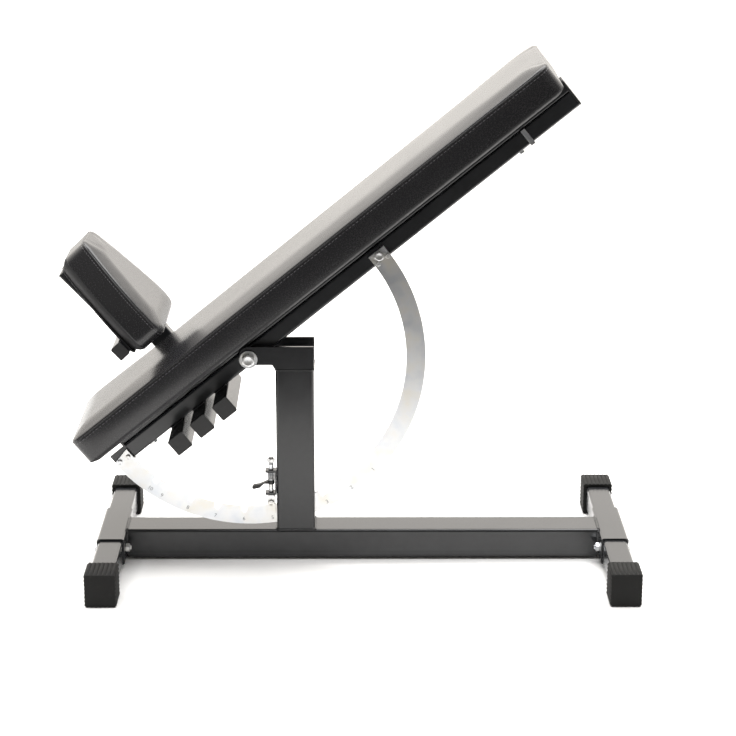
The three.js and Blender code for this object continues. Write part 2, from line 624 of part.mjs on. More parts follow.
// ---------- pads ----------
// A cushion standing on z = 0 with its board let into the underside. outlineAt(inset) gives the
// plan's shape, drawn in by inset.
function makePad(outlineAt, thickness) {
  const pocketDepth = BOARD_THICKNESS + GAP;
  const block = prism(outlineAt(0), thickness, 'z', 4).translate(0, 0, thickness / 2);
  const pocket = prism(outlineAt(BOARD_INSET - GAP), 2 * pocketDepth, 'z', 4);
  const board = prism(outlineAt(BOARD_INSET), BOARD_THICKNESS, 'z', 4).translate(0, 0, BOARD_THICKNESS / 2);
  return { cushion: cut(block, pocket), board };
}

function padOutline(inset) {
  const corner = Math.max(PAD_CORNER - inset, 2);
  return roundedRectangle(new THREE.Shape(), PAD_LENGTH - 2 * inset, PAD_WIDTH - 2 * inset, corner);
}

// The seat's plan: straight across the back, curving in along both sides to a narrow front.
function seatOutline(inset) {
  const steps = 12;
  const length = SEAT_LENGTH - 2 * inset;
  const sides = [];
  for (let i = 0; i <= steps; i += 1) {
    const t = 0.04 + (0.9 * i) / steps;
    sides.push([length * (t - 0.5), SEAT_WIDTH / 2 - inset - ((SEAT_WIDTH - SEAT_NOSE) / 2) * t ** 1.9]);
  }
  const front = sides[steps];
  const nose = [[0.5 * length, front[1] - 14], [0.48 * length, front[1] - 5]];
  const heel = [[-0.5 * length, sides[0][1] - 8]];
  const half = [...heel, ...sides, ...nose.reverse()];
  const other = half.map(([x, y]) => [x, -y]).reverse();
  return outline([...half, ...other].reverse());
}

function padBoltPlaces() {
  return [padLowEnd + LOW_BOLT_INSET, padHighEnd - HIGH_BOLT_INSET];
}

function makeBackPad(back) {
  const pad = makePad(padOutline, PAD_THICKNESS);
  const middle = (padLowEnd + padHighEnd) / 2;
  const grip = BOARD_THICKNESS - SHORT_OF_BOARD;
  const holes = padBoltPlaces().map((x) => (
    rod(M8.radius + GAP, 2 * (grip + GAP), 'z').translate(x - middle, 0, 0)));
  add(back, 'back_cushion', pad.cushion, blackVinyl(), middle, 0, padUnderside);
  add(back, 'back_board', cut(pad.board, ...holes), birchPly(), middle, 0, padUnderside);
  padBoltPlaces().forEach((x, i) => {
    const bolt = hexBolt(M8, padUnderside + FRAME_BELOW_PIVOT + GAP + grip, 'z');
    add(back, `pad_bolt_${i + 1}`, bolt, zincPlate(), x, 0, -(FRAME_BELOW_PIVOT + GAP));
  });
}

// ---------- seat ----------
// Nearly square to the back: a pad on a plate, on a T of two tubes, with an arm down the far
// side whose peg plugs into the middle receiver.
function makeSeat() {
  const seat = new THREE.Group();
  const low = padTop + SEAT_CLEARANCE;
  const seatBack = SEAT_FACE - SEAT_THICKNESS;
  const tubeX = seatBack - 2 * GAP - SEAT_PLATE - SEAT_TUBE_DEPTH / 2;
  const tubeZ = low + SEAT_TUBE_HEIGHT;
  const armY = PAD_WIDTH / 2 + SEAT_ARM_CLEARANCE + pegSize / 2;
  const nearEnd = -(SEAT_WIDTH / 2 - 4);
  const farEnd = armY - pegSize / 2 - GAP;

  // The tilted group turns about the cross tube's axis. Its X runs off the sitting face.
  const top = new THREE.Group();
  top.position.set(tubeX, 0, tubeZ);
  top.rotation.y = -SEAT_TILT * DEG;
  const middle = low + SEAT_LENGTH / 2 - tubeZ;
  const underside = seatBack - tubeX;
  const stand = (geometry) => geometry.rotateY(Math.PI / 2).rotateX(Math.PI);
  const pad = makePad(seatOutline, SEAT_THICKNESS);
  add(top, 'seat_cushion', stand(pad.cushion), blackVinyl(), underside, 0, middle);
  add(top, 'seat_board', stand(pad.board), birchPly(), underside, 0, middle);
  const plate = prism(seatOutline(SEAT_PLATE_INSET), SEAT_PLATE, 'z', 4);
  add(top, 'seat_plate', stand(plate), satinBlackPaint(), underside - GAP - SEAT_PLATE / 2, 0, middle);
  add(top, 'seat_cross_tube', squareTube(SEAT_TUBE_DEPTH, pegSize, SEAT_TUBE_WALL, farEnd - nearEnd, 'y'),
    satinBlackPaint(), 0, (nearEnd + farEnd) / 2, 0);
  const plug = makePlug(SEAT_TUBE_DEPTH, pegSize, SEAT_TUBE_WALL, 'y', -1);
  add(top, 'seat_tube_plug', plug, blackPlastic(), 0, nearEnd - GAP, 0);

  const spineLow = pegSize / 2 + GAP;
  const spineLength = low + SEAT_LENGTH - SPINE_INSET - tubeZ - spineLow;
  const spineX = (SEAT_TUBE_DEPTH - SPINE_DEPTH) / 2;
  add(top, 'seat_spine', squareTube(SPINE_DEPTH, SPINE_WIDTH, SEAT_TUBE_WALL, spineLength, 'z'),
    satinBlackPaint(), spineX, 0, spineLow + spineLength / 2);
  const spinePlug = makePlug(SPINE_DEPTH, SPINE_WIDTH, SEAT_TUBE_WALL, 'z', 1);
  add(top, 'seat_spine_plug', spinePlug, blackPlastic(), spineX, 0, spineLow + spineLength + GAP);
  seat.add(top);

  const pegX = receiverPlaces()[1];
  const armInner = pegX + pegSize / 2;
  const armOuter = tubeX - SEAT_TUBE_DEPTH / 2;
  const armLow = receiverDrop - pegSize / 2;
  const armHigh = tubeZ + pegSize / 2;
  const arm = squareTube(armInner - armOuter, pegSize, SEAT_TUBE_WALL, armHigh - armLow, 'z');
  add(seat, 'seat_arm', arm, satinBlackPaint(), (armInner + armOuter) / 2, armY, (armLow + armHigh) / 2);
  const pegNear = -(RECEIVER_LENGTH / 2 - PEG_SHORT);
  const peg = squareTube(pegSize, pegSize, SEAT_TUBE_WALL, farEnd - pegNear, 'y');
  add(seat, 'seat_peg', peg, satinBlackPaint(), pegX, (pegNear + farEnd) / 2, receiverDrop);
  return seat;
}

// ---------- assembly ----------
const swing = new THREE.Group();
swing.position.set(pivotX, 0, PIVOT_HEIGHT);
swing.rotation.y = -REST_INCLINE * DEG;
swing.add(makeBack(), makeSeat());

// The origin is on the floor under the middle of the whole bench.
const bench = new THREE.Group();
bench.add(makeBase(), makeCatch(), swing);
bench.updateMatrixWorld(true);
const extent = new THREE.Box3().setFromObject(bench, true);
bench.position.x = -(extent.min.x + extent.max.x) / 2;

const group = new THREE.Group();
group.add(bench);

export default group;
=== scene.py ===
"""Looks for the adjustable weight bench: upholstery, ribbed rubber feet, welds, fasteners and finishes."""
import json
import math

import bmesh
import bpy
from mathutils import Matrix, Vector
from mathutils.bvhtree import BVHTree
from mathutils.kdtree import KDTree


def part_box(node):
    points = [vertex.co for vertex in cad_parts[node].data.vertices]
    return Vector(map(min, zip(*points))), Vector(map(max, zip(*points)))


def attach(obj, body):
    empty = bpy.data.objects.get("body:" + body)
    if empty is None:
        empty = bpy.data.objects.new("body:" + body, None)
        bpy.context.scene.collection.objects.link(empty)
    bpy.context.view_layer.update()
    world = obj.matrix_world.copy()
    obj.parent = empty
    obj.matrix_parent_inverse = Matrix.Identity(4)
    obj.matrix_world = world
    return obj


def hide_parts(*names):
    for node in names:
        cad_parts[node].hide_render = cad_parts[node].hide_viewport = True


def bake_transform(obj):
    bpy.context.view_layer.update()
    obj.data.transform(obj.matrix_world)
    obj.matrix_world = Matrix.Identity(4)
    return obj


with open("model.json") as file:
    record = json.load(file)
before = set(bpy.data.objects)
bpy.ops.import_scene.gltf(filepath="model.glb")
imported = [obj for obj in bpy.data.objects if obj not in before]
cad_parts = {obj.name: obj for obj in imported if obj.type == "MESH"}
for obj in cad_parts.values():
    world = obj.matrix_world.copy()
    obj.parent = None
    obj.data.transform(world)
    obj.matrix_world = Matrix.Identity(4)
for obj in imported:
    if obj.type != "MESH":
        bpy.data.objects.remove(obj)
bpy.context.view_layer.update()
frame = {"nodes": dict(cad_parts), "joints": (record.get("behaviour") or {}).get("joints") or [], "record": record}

MM = 0.001
JOINTS = {joint["name"]: joint for joint in frame["joints"]}

# The back's own frame: X along it from the pivot towards the head, Z off its face.
TILT = JOINTS["back_tilt"]
REST_INCLINE = -math.radians(TILT["range_deg"][0])
BACK = Matrix.Translation(Vector(TILT["pos_m"])) @ Matrix.Rotation(-REST_INCLINE, 4, "Y")
# The seat leans this much past square to the back.
SEAT = BACK @ Matrix.Rotation(math.radians(-4), 4, "Y")


def span(node, place=Matrix.Identity(4)):
    """A CAD node's lowest and highest corner in the frame that place sets up."""
    turn = place.inverted()
    points = [turn @ vertex.co for vertex in frame["nodes"][node].data.vertices]
    low = Vector([min(p[i] for p in points) for i in range(3)])
    high = Vector([max(p[i] for p in points) for i in range(3)])
    return low, high


# ---------- materials ----------
def linear(hex_colour):
    """An sRGB hex colour as linear RGBA."""
    channels = [int(hex_colour[i:i + 2], 16) / 255 for i in (1, 3, 5)]
    return [c / 12.92 if c <= 0.04045 else ((c + 0.055) / 1.055) ** 2.4 for c in channels] + [1.0]


def per_mm(size):
    """The texture scale that gives one pattern cell per size, in millimetres."""
    return 1 / (size * MM)


def add(material, kind, settings=None, **inputs):
    """Adds a node. A value sets an input, and another node's output is linked to it. _6 is input number 6."""
    node = material.node_tree.nodes.new("ShaderNode" + kind)
    for name, value in (settings or {}).items():
        setattr(node, name, value)
    for name, value in inputs.items():
        numbered = name[0] == "_" and name[1:].isdigit()
        socket = node.inputs[int(name[1:]) if numbered else name.replace("_", " ")]
        if isinstance(value, bpy.types.NodeSocket):
            material.node_tree.links.new(value, socket)
        else:
            socket.default_value = value
    return node


def surface(name, **inputs):
    """A new material and its shader, with the values that are the same all over."""
    material = bpy.data.materials.new(name)
    material.use_nodes = True
    shader = material.node_tree.nodes["Principled BSDF"]
    for socket, value in inputs.items():
        shader.inputs[socket.replace("_", " ")].default_value = value
    return material, shader


def connect(material, shader, **sources):
    for socket, source in sources.items():
        material.node_tree.links.new(source, shader.inputs[socket.replace("_", " ")])


def ramp(material, source, stops):
    """A colour ramp over source; stops are (place, hex colour)."""
    node = add(material, "ValToRGB", None, Fac=source)
    elements = node.color_ramp.elements
    while len(elements) < len(stops):
        elements.new(0.5)
    for element, (place, colour) in zip(elements, stops):
        element.position = place
        element.color = linear(colour)
    return node.outputs["Color"]


def spread(material, source, low, high):
    """source, from 0 to 1, mapped to low to high."""
    return add(material, "MapRange", None, Value=source, To_Min=low, To_Max=high).outputs["Result"]


def stretched(material, x, y, z):
    """Object coordinates in pattern cells of x by y by z millimetres."""
    place = add(material, "TexCoord").outputs["Object"]
    scale = (per_mm(x), per_mm(y), per_mm(z))
    return add(material, "Mapping", None, Vector=place, Scale=scale).outputs["Vector"]


def powder_coat():
    """Satin black polyester powder on steel: even and dark, with a fine orange peel."""
    material, shader = surface("satin_black_powder_coat", IOR=1.5)
    place = add(material, "TexCoord").outputs["Object"]
    peel = add(material, "TexNoise", None, Vector=place, Scale=per_mm(1.6), Detail=2.0).outputs["Fac"]
    cloud = add(material, "TexNoise", None, Vector=place, Scale=per_mm(45), Detail=4.0).outputs["Fac"]
    fleck = add(material, "TexNoise", None, Vector=place, Scale=per_mm(0.9), Detail=0.0).outputs["Fac"]
    colour = ramp(material, cloud, [(0.3, "#202123"), (0.7, "#27282A")])
    light = ramp(material, fleck, [(0.70, "#000000"), (0.78, "#0A0A0A")])
    mixed = add(material, "Mix", {"data_type": "RGBA", "blend_type": "ADD"}, _0=1.0, _6=colour, _7=light)
    bump = add(material, "Bump", None, Height=peel, Strength=0.25, Distance=0.06 * MM)
    connect(material, shader, Base_Color=mixed.outputs[2], Roughness=spread(material, cloud, 0.17, 0.24),
            Normal=bump.outputs["Normal"])
    return material


def zinc_plate():
    """Bright zinc on rolled steel: silvery, with fine rolling marks and faint blue and straw clouds."""
    material, shader = surface("bright_zinc_plate", Metallic=1.0)
    rolled = stretched(material, 30, 0.6, 0.6)
    marks = add(material, "TexNoise", None, Vector=rolled, Scale=1.0, Detail=3.0).outputs["Fac"]
    place = add(material, "TexCoord").outputs["Object"]
    cloud = add(material, "TexNoise", None, Vector=place, Scale=per_mm(28), Detail=5.0).outputs["Fac"]
    colour = ramp(material, cloud, [(0.25, "#C4C8CE"), (0.5, "#D2D3D4"), (0.75, "#D3D0C8")])
    dull = add(material, "Math", {"operation": "ADD"}, _0=spread(material, marks, -0.06, 0.10),
               _1=spread(material, cloud, 0.24, 0.40)).outputs[0]
    bump = add(material, "Bump", None, Height=marks, Strength=0.12, Distance=0.03 * MM)
    connect(material, shader, Base_Color=colour, Roughness=dull, Normal=bump.outputs["Normal"])
    return material


def moulded_rubber():
    """Black natural rubber from a mould: dry and matt, dusted grey where it rubs."""
    material, shader = surface("moulded_black_rubber", IOR=1.52, Specular_IOR_Level=0.25)
    place = add(material, "TexCoord").outputs["Object"]
    grain = add(material, "TexNoise", None, Vector=place, Scale=per_mm(0.9), Detail=4.0).outputs["Fac"]
    dust = add(material, "TexNoise", None, Vector=place, Scale=per_mm(12), Detail=6.0).outputs["Fac"]
    colour = ramp(material, dust, [(0.35, "#0B0B0B"), (0.62, "#131312"), (0.85, "#22211F")])
    bump = add(material, "Bump", None, Height=grain, Strength=0.35, Distance=0.1 * MM)
    connect(material, shader, Base_Color=colour, Roughness=spread(material, dust, 0.6, 0.85),
            Normal=bump.outputs["Normal"])
    return material


def moulded_plastic():
    """Black polyethylene from a spark-eroded mould: a fine even pebble, half matt."""
    material, shader = surface("moulded_black_polyethylene", IOR=1.51)
    place = add(material, "TexCoord").outputs["Object"]
    pebble = add(material, "TexVoronoi", {"feature": "SMOOTH_F1"}, Vector=place,
                 Scale=per_mm(0.8)).outputs["Distance"]
    cloud = add(material, "TexNoise", None, Vector=place, Scale=per_mm(15), Detail=3.0).outputs["Fac"]
    colour = ramp(material, cloud, [(0.3, "#101011"), (0.7, "#19191A")])
    bump = add(material, "Bump", None, Height=pebble, Strength=0.3, Distance=0.08 * MM)
    connect(material, shader, Base_Color=colour, Roughness=spread(material, cloud, 0.42, 0.55),
            Normal=bump.outputs["Normal"])
    return material


def upholstery_vinyl(name, polished, creased):
    """Expanded vinyl pressed with a fine leather grain: soft sheen on the pebbles, duller in the creases."""
    material, shader = surface(name, IOR=1.5)
    place = add(material, "TexCoord").outputs["Object"]
    warp = add(material, "TexNoise", None, Vector=place, Scale=per_mm(6), Detail=2.0).outputs["Color"]
    bent = add(material, "Mix", {"data_type": "VECTOR"}, _0=0.0012, _4=place, _5=warp).outputs[1]
    # real grain is 0.7 mm across; it is drawn at 1.4 mm so that it shows
    cells = add(material, "TexVoronoi", {"feature": "SMOOTH_F1"}, Vector=bent,
                Scale=per_mm(1.4)).outputs["Distance"]
    crease = add(material, "TexNoise", None, Vector=place, Scale=per_mm(9), Detail=5.0).outputs["Fac"]
    cloud = add(material, "TexNoise", None, Vector=place, Scale=per_mm(120), Detail=3.0).outputs["Fac"]
    # painted shade in the grain: the pebbles' tops are a little lighter and the creases between them darker,
    # following the bump
    colour = ramp(material, cells, [(0.0, "#252527"), (0.5, "#212123"), (0.9, "#1B1B1C")])
    gloss = add(material, "Math", {"operation": "ADD"}, _0=spread(material, cells, polished, creased),
                _1=spread(material, cloud, -0.03, 0.05)).outputs[0]
    fine = add(material, "Bump", {"invert": True}, Height=cells, Strength=0.10, Distance=0.12 * MM)
    bump = add(material, "Bump", None, Height=crease, Strength=0.12, Distance=0.5 * MM,
               Normal=fine.outputs["Normal"])
    connect(material, shader, Base_Color=colour, Roughness=gloss, Normal=bump.outputs["Normal"])
    return material


def sewing_thread():
    """Bonded nylon thread: two dark grey strands twisted together, slightly waxy. Each strand's crest is painted
    lighter and the groove between strands darker: painted highlight and painted shade.
    """
    material, shader = surface("bonded_nylon_thread", IOR=1.53)
    twist = add(material, "TexWave", {"bands_direction": "DIAGONAL"}, Scale=per_mm(2.2), Distortion=0.4,
                Vector=add(material, "TexCoord").outputs["Object"]).outputs["Fac"]
    # painted highlight on the strands' crests and painted shade in the grooves between them, following the twist's
    # bump
    colour = ramp(material, twist, [(0.2, "#3A3A3C"), (0.8, "#8C8C90")])
    bump = add(material, "Bump", None, Height=twist, Strength=0.5, Distance=0.15 * MM)
    connect(material, shader, Base_Color=colour, Roughness=spread(material, twist, 0.45, 0.6),
            Normal=bump.outputs["Normal"])
    return material


def birch_plywood():
    """Rotary-cut birch ply, unfinished: long pale figure with darker latewood lines."""
    material, shader = surface("birch_plywood", IOR=1.5)
    figure = add(material, "TexNoise", None, Vector=stretched(material, 90, 7, 7), Scale=1.0,
                 Detail=6.0).outputs["Fac"]
    pore = add(material, "TexNoise", None, Vector=stretched(material, 12, 0.8, 0.8), Scale=1.0,
               Detail=2.0).outputs["Fac"]
    colour = ramp(material, figure, [(0.3, "#C9A777"), (0.55, "#B8935F"), (0.8, "#9A7446")])
    bump = add(material, "Bump", None, Height=pore, Strength=0.3, Distance=0.1 * MM)
    connect(material, shader, Base_Color=colour, Roughness=spread(material, pore, 0.6, 0.8),
            Normal=bump.outputs["Normal"])
    return material


def bearing_bronze():
    """Sintered bronze, oil-soaked: warm and grainy with dark pores."""
    material, shader = surface("sintered_bronze", Metallic=1.0)
    place = add(material, "TexCoord").outputs["Object"]
    pores = add(material, "TexVoronoi", None, Vector=place, Scale=per_mm(0.7)).outputs["Distance"]
    colour = ramp(material, pores, [(0.1, "#5B4020"), (0.5, "#9A7340")])
    bump = add(material, "Bump", None, Height=pores, Strength=0.3, Distance=0.05 * MM)
    connect(material, shader, Base_Color=colour, Roughness=spread(material, pores, 0.5, 0.35),
            Normal=bump.outputs["Normal"])
    return material


def stamped_mark():
    """The floor of a stamped figure: bare steel darkened by oil."""
    material, shader = surface("darkened_stamped_steel", Metallic=1.0)
    place = add(material, "TexCoord").outputs["Object"]
    stain = add(material, "TexNoise", None, Vector=place, Scale=per_mm(2), Detail=4.0).outputs["Fac"]
    colour = ramp(material, stain, [(0.3, "#55585C"), (0.7, "#7C7F83")])
    connect(material, shader, Base_Color=colour, Roughness=spread(material, stain, 0.4, 0.6))
    return material


def dust_cloth():
    """Spun-bonded polypropylene under the pads: thin black felt with a pressed dot pattern."""
    material, shader = surface("spun_black_polypropylene", IOR=1.49, Sheen_Weight=0.3)
    place = add(material, "TexCoord").outputs["Object"]
    dots = add(material, "TexVoronoi", {"feature": "F1"}, Vector=place, Scale=per_mm(1.8),
               Randomness=0.15).outputs["Distance"]
    fibre = add(material, "TexNoise", None, Vector=place, Scale=per_mm(0.7), Detail=5.0).outputs["Fac"]
    colour = ramp(material, fibre, [(0.3, "#0E0E0F"), (0.7, "#1B1B1D")])
    bump = add(material, "Bump", None, Height=dots, Strength=0.4, Distance=0.15 * MM)
    connect(material, shader, Base_Color=colour, Roughness=spread(material, fibre, 0.8, 0.95),
            Normal=bump.outputs["Normal"])
    return material


def studio_floor(name, light, dark):
    """A matt studio floor, very slightly fibrous."""
    material, shader = surface(name, IOR=1.4, Specular_IOR_Level=0.1)
    place = add(material, "TexCoord").outputs["Object"]
    fibre = add(material, "TexNoise", None, Vector=place, Scale=per_mm(4), Detail=5.0).outputs["Fac"]
    colour = ramp(material, fibre, [(0.3, dark), (0.7, light)])
    connect(material, shader, Base_Color=colour, Roughness=spread(material, fibre, 0.8, 0.95))
    return material


PAINT = powder_coat()
ZINC = zinc_plate()
RUBBER = moulded_rubber()
PLASTIC = moulded_plastic()
VINYL = upholstery_vinyl("black_upholstery_vinyl", 0.20, 0.32)
# the same vinyl where it is stretched under the pads and scuffed by handling
SCUFFED = upholstery_vinyl("scuffed_black_vinyl", 0.62, 0.8)
THREAD = sewing_thread()
PLYWOOD = birch_plywood()
BRONZE = bearing_bronze()
MARK = stamped_mark()
CLOTH = dust_cloth()
SLOTS = {PAINT: "satin_black_paint", ZINC: "zinc_plated_steel", RUBBER: "black_rubber",
         PLASTIC: "black_plastic", VINYL: "black_vinyl", SCUFFED: "black_vinyl", THREAD: "black_vinyl",
         PLYWOOD: "birch_plywood", BRONZE: "bronze", MARK: "zinc_plated_steel", CLOTH: "black_vinyl"}
# the first material of each slot is its nodes' finish
FINISHES = {slot: material for material, slot in reversed(SLOTS.items())}


# ---------- making pieces ----------
def place_piece(name, mesh, material, body, replaced=(), sharp=35):
    """Adds a finished mesh as a piece that rides on a body and stands for the replaced nodes."""
    mesh.materials.clear()
    mesh.materials.append(material)
    if sharp is not None:
        mesh.shade_smooth()
        mesh.set_sharp_from_angle(angle=math.radians(sharp))
    piece = bpy.data.objects.new(name, mesh)
    bpy.context.scene.collection.objects.link(piece)
    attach(piece, body)
    if replaced:
        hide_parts(*replaced)
    return piece


def modified(mesh, *modifiers):
    """The mesh after modifiers, each given as (type, settings)."""
    holder = bpy.data.objects.new("holder", mesh)
    bpy.context.scene.collection.objects.link(holder)
    for kind, settings in modifiers:
        modifier = holder.modifiers.new(kind.lower(), kind)
        for name, value in settings.items():
            setattr(modifier, name, value)
    graph = bpy.context.evaluated_depsgraph_get()
    result = bpy.data.meshes.new_from_object(holder.evaluated_get(graph))
    bpy.data.objects.remove(holder)
    return result


def loops_mesh(name, loops, closed_ends=True, ring=False):
    """A skin over loops of equal length. Its ends are capped, or its last loop meets its first in a ring."""
    count = len(loops[0])
    vertices = [tuple(point) for loop in loops for point in loop]
    faces = []
    pairs = [(i, i + 1) for i in range(len(loops) - 1)] + ([(len(loops) - 1, 0)] if ring else [])
    for a, b in pairs:
        for i in range(count):
            j = (i + 1) % count
            faces.append((a * count + i, a * count + j, b * count + j, b * count + i))
    if closed_ends and not ring:
        faces.append(tuple(reversed(range(count))))
        faces.append(tuple((len(loops) - 1) * count + i for i in range(count)))
    mesh = bpy.data.meshes.new(name)
    mesh.from_pydata(vertices, [], faces)
    tidy = bmesh.new()
    tidy.from_mesh(mesh)
    bmesh.ops.recalc_face_normals(tidy, faces=tidy.faces)
    tidy.to_mesh(mesh)
    tidy.free()
    return mesh


def aligned(point, direction):
    """A place whose Z runs along direction from point."""
    return Matrix.Translation(point) @ Vector(direction).to_track_quat("Z", "Y").to_matrix().to_4x4()


# ---------- steelwork ----------
EDGE_RADIUS = 0.5 * MM


def body_of(node):
    return next(name for name, members in frame["record"]["behaviour"]["bodies"].items() if node in members)


def finish_of(node):
    parts = frame["record"]["subparts"]
    return FINISHES[next(part["material_slot"] for part in parts if part["node"] == node)]


def eased(node, radius=EDGE_RADIUS):
    """A copy of a CAD solid with its edges eased, as tumbling or paint leaves them."""
    mesh = frame["nodes"][node].data.copy()
    clean = bmesh.new()
    clean.from_mesh(mesh)
    bmesh.ops.remove_doubles(clean, verts=clean.verts, dist=0.002 * MM)
    bmesh.ops.dissolve_limit(clean, angle_limit=math.radians(0.3), verts=clean.verts, edges=clean.edges)
    clean.to_mesh(mesh)
    clean.free()
    mesh.shade_smooth()
    rounded = modified(mesh, ("BEVEL", {"width": radius, "segments": 2, "limit_method": "ANGLE",
                                        "angle_limit": math.radians(50), "use_clamp_overlap": True}),
                       ("WEIGHTED_NORMAL", {"mode": "FACE_AREA", "weight": 100}))
    return place_piece(node + "_eased", rounded, finish_of(node), body_of(node), [node], sharp=None)


EASED = ["base_beam", "upright", "head_bracket", "seat_end_sleeve", "head_end_sleeve", "seat_end_leg",
         "head_end_leg", "catch_bracket", "catch_yoke", "catch_handle", "back_frame_tube", "frame_end_cap",
         "frame_strap", "selector_arc", "arc_end_bracket", "seat_plate", "seat_cross_tube", "seat_tube_plug",
         "seat_arm", "seat_peg", "pad_rail", "seat_spine", "seat_spine_plug"]
EASED += [f"receiver_{i}" for i in (1, 2, 3)] + [f"receiver_plug_{i}" for i in (1, 2, 3)]
for node in EASED:
    eased(node, 0.25 * MM if node in ("catch_yoke", "frame_strap") else EDGE_RADIUS)

for node in ("back_board", "seat_board", "pivot_bush", "thrust_washer_near", "thrust_washer_far"):
    solid = frame["nodes"][node]
    solid.data.materials.clear()
    solid.data.materials.append(finish_of(node))


# ---------- fasteners ----------
def hex_loop(flats, steps, z, chamfer=0):
    """A hexagon's outline with extra points along its flats. A chamfer of 1 or -1 lifts or drops its corners."""
    points = []
    for i in range(steps):
        angle = 2 * math.pi * i / steps
        off_flat = (angle + math.pi / 6) % (math.pi / 3) - math.pi / 6
        radius = flats / 2 / math.cos(off_flat)
        drop = max(0, radius - 0.97 * flats / 2) * math.tan(math.radians(30))
        points.append(Vector((radius * math.cos(angle), radius * math.sin(angle), z + chamfer * drop)))
    return points


def circle_loop(radius, steps, z):
    turn = 2 * math.pi / steps
    return [Vector((radius * math.cos(turn * i), radius * math.sin(turn * i), z)) for i in range(steps)]


def thread_loops(radius, low, high, steps, pitch=1.25 * MM):
    """Crests and roots of a rolled thread from low to high."""
    count = max(1, int((high - low) / pitch))
    loops = []
    for i in range(count):
        z = low + i * pitch
        loops.append(circle_loop(radius - 0.55 * MM, steps, z))
        loops.append(circle_loop(radius - 0.05 * MM, steps, z + 0.5 * pitch))
    return loops + [circle_loop(radius - 0.5 * MM, steps, high)]


def bolt(node, direction, flats, head, radius, bare=0.5):
    """A hex-head bolt in a CAD bolt's place. direction runs from its head to its tip."""
    steps = 48
    low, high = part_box(node)
    centre = (low + high) / 2
    along = Vector(direction)
    length = abs((high - low).dot(along))
    if body_of(node) == "back" and abs(along.y) < 0.5:
        low, high = span(node, BACK)
        centre = BACK @ ((low + high) / 2)
        length = high.z - low.z
    shoulder = head + bare * (length - head)
    loops = [circle_loop(0.3 * flats, steps, 0.25 * MM), circle_loop(0.34 * flats, steps, 0),
             circle_loop(0.485 * flats, steps, 0), hex_loop(flats, steps, 0.02 * MM, 1),
             hex_loop(flats, steps, head - 0.3 * MM), circle_loop(0.47 * flats, steps, head - 0.25 * MM),
             circle_loop(0.47 * flats, steps, head), circle_loop(radius, steps, head),
             circle_loop(radius, steps, shoulder)]
    loops += thread_loops(radius, shoulder + 0.4 * MM, length - 0.8 * MM, steps)
    loops.append(circle_loop(radius - 1 * MM, steps, length))
    mesh = loops_mesh(node + "_turned", loops)
    mesh.transform(aligned(centre - along * length / 2, along))
    return place_piece(node + "_turned", mesh, ZINC, body_of(node), [node])


def nut(node, direction, flats, bore):
    """A hex nut, chamfered on both faces and threaded inside, in a CAD nut's place."""
    steps = 48
    low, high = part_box(node)
    along = Vector(direction)
    height = abs((high - low).dot(along))
    face = 0.48 * flats
    loops = [circle_loop(bore + 0.5 * MM, steps, 0), circle_loop(face, steps, 0),
             hex_loop(flats, steps, 0.02 * MM, 1),
             hex_loop(flats, steps, height - 0.02 * MM, -1), circle_loop(face, steps, height),
             circle_loop(bore + 0.5 * MM, steps, height)]
    turns = max(2, int(height / (1.25 * MM)))
    for i in range(turns, 0, -1):
        z = height * i / (turns + 1)
        loops.append(circle_loop(bore + (0.25 * MM if i % 2 else 0), steps, z))
    mesh = loops_mesh(node + "_turned", loops, ring=True)
    mesh.transform(aligned((low + high) / 2 - along * height / 2, along))
    return place_piece(node + "_turned", mesh, ZINC, body_of(node), [node])


def washer(node, direction, bore):
    """A flat washer with a rolled outer edge, in a CAD washer's place."""
    steps = 64
    low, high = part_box(node)
    along = Vector(direction)
    height = abs((high - low).dot(along))
    outer = max(high - low) / 2
    ease = 0.5 * MM
    loops = [circle_loop(bore, steps, 0.2 * MM), circle_loop(bore + 0.2 * MM, steps, 0),
             circle_loop(outer - ease, steps, 0), circle_loop(outer, steps, ease),
             circle_loop(outer, steps, height - ease), circle_loop(outer - ease, steps, height),
             circle_loop(bore + 0.2 * MM, steps, height), circle_loop(bore, steps, height - 0.2 * MM)]
    mesh = loops_mesh(node + "_turned", loops, ring=True)
    mesh.transform(aligned((low + high) / 2 - along * height / 2, along))
    return place_piece(node + "_turned", mesh, ZINC, body_of(node), [node])


INWARD = Vector((0, 1, 0))
PAD_NORMAL = BACK.to_3x3() @ Vector((0, 0, 1))
bolt("pivot_bolt", INWARD, 19 * MM, 7.5 * MM, 6 * MM, bare=0.75)
nut("pivot_nut", INWARD, 19 * MM, 6.3 * MM)
washer("pivot_washer_near", INWARD, 6.3 * MM)
washer("pivot_washer_far", INWARD, 6.3 * MM)
bolt("seat_end_bolt", (1, 0, 0), 13 * MM, 5.5 * MM, 4 * MM, bare=0.7)
bolt("head_end_bolt", (-1, 0, 0), 13 * MM, 5.5 * MM, 4 * MM, bare=0.7)
nut("seat_end_nut", (1, 0, 0), 13 * MM, 4.3 * MM)
nut("head_end_nut", (1, 0, 0), 13 * MM, 4.3 * MM)
bolt("arc_bolt", INWARD, 14 * MM, 6 * MM, 5 * MM, bare=0.2)
for node in ("arc_screw_upper_1", "arc_screw_upper_2", "arc_screw_lower_1", "arc_screw_lower_2"):
    bolt(node, INWARD, 7 * MM, 3.5 * MM, 2.5 * MM, bare=0.2)
bolt("catch_pin", INWARD, 10 * MM, 3.5 * MM, 4 * MM, bare=1.0)
nut("catch_nut", (0, 0, 1), 13 * MM, 4.3 * MM)
for node in ("pad_bolt_1", "pad_bolt_2"):
    bolt(node, PAD_NORMAL, 13 * MM, 5.5 * MM, 4 * MM, bare=0.6)


